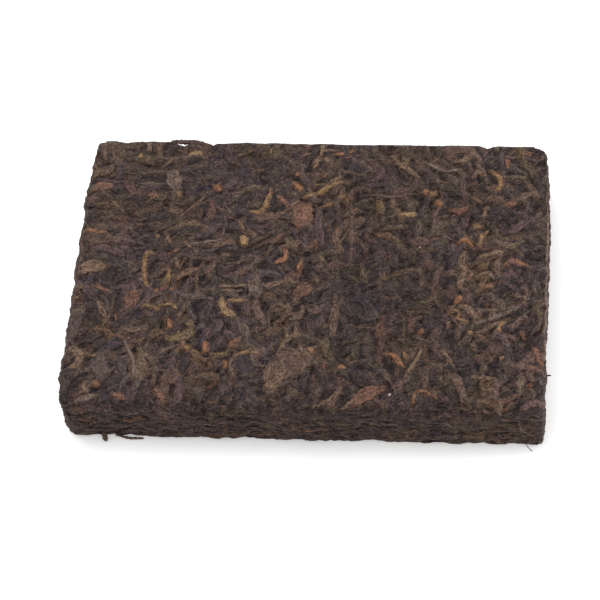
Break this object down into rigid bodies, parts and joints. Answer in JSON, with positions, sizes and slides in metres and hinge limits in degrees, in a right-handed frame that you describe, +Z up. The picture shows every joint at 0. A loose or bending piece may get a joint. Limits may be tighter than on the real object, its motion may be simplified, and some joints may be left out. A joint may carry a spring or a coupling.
{
  "type": "pressed tea brick",
  "caption": "Flat rectangular brick of compressed dark fermented tea leaf, uneven edges, whole leaves and stems standing out in low relief.",
  "frame": {"origin": "middle of the resting face on the underside, at the middle of the brick's outline", "axes": "+Z up out of the pressed top face, +X along the long side to the right, +Y towards the back wall; the front wall faces -Y"},
  "size_m": [0.153, 0.1027, 0.02],
  "materials": {
    "pressed_leaf": "dark grey-brown compressed tea leaf, matt with a faint sheen",
    "dark_leaf": "rolled dark leaf, faint sheen",
    "open_leaf": "open leaf pressed flat, matt",
    "stem": "thin dry stem, matt",
    "golden_tip": "downy golden bud, matt"
  },
  "bodies": {
    "root": {"tea_brick": "pressed_leaf"}
  },
  "joints": []
}
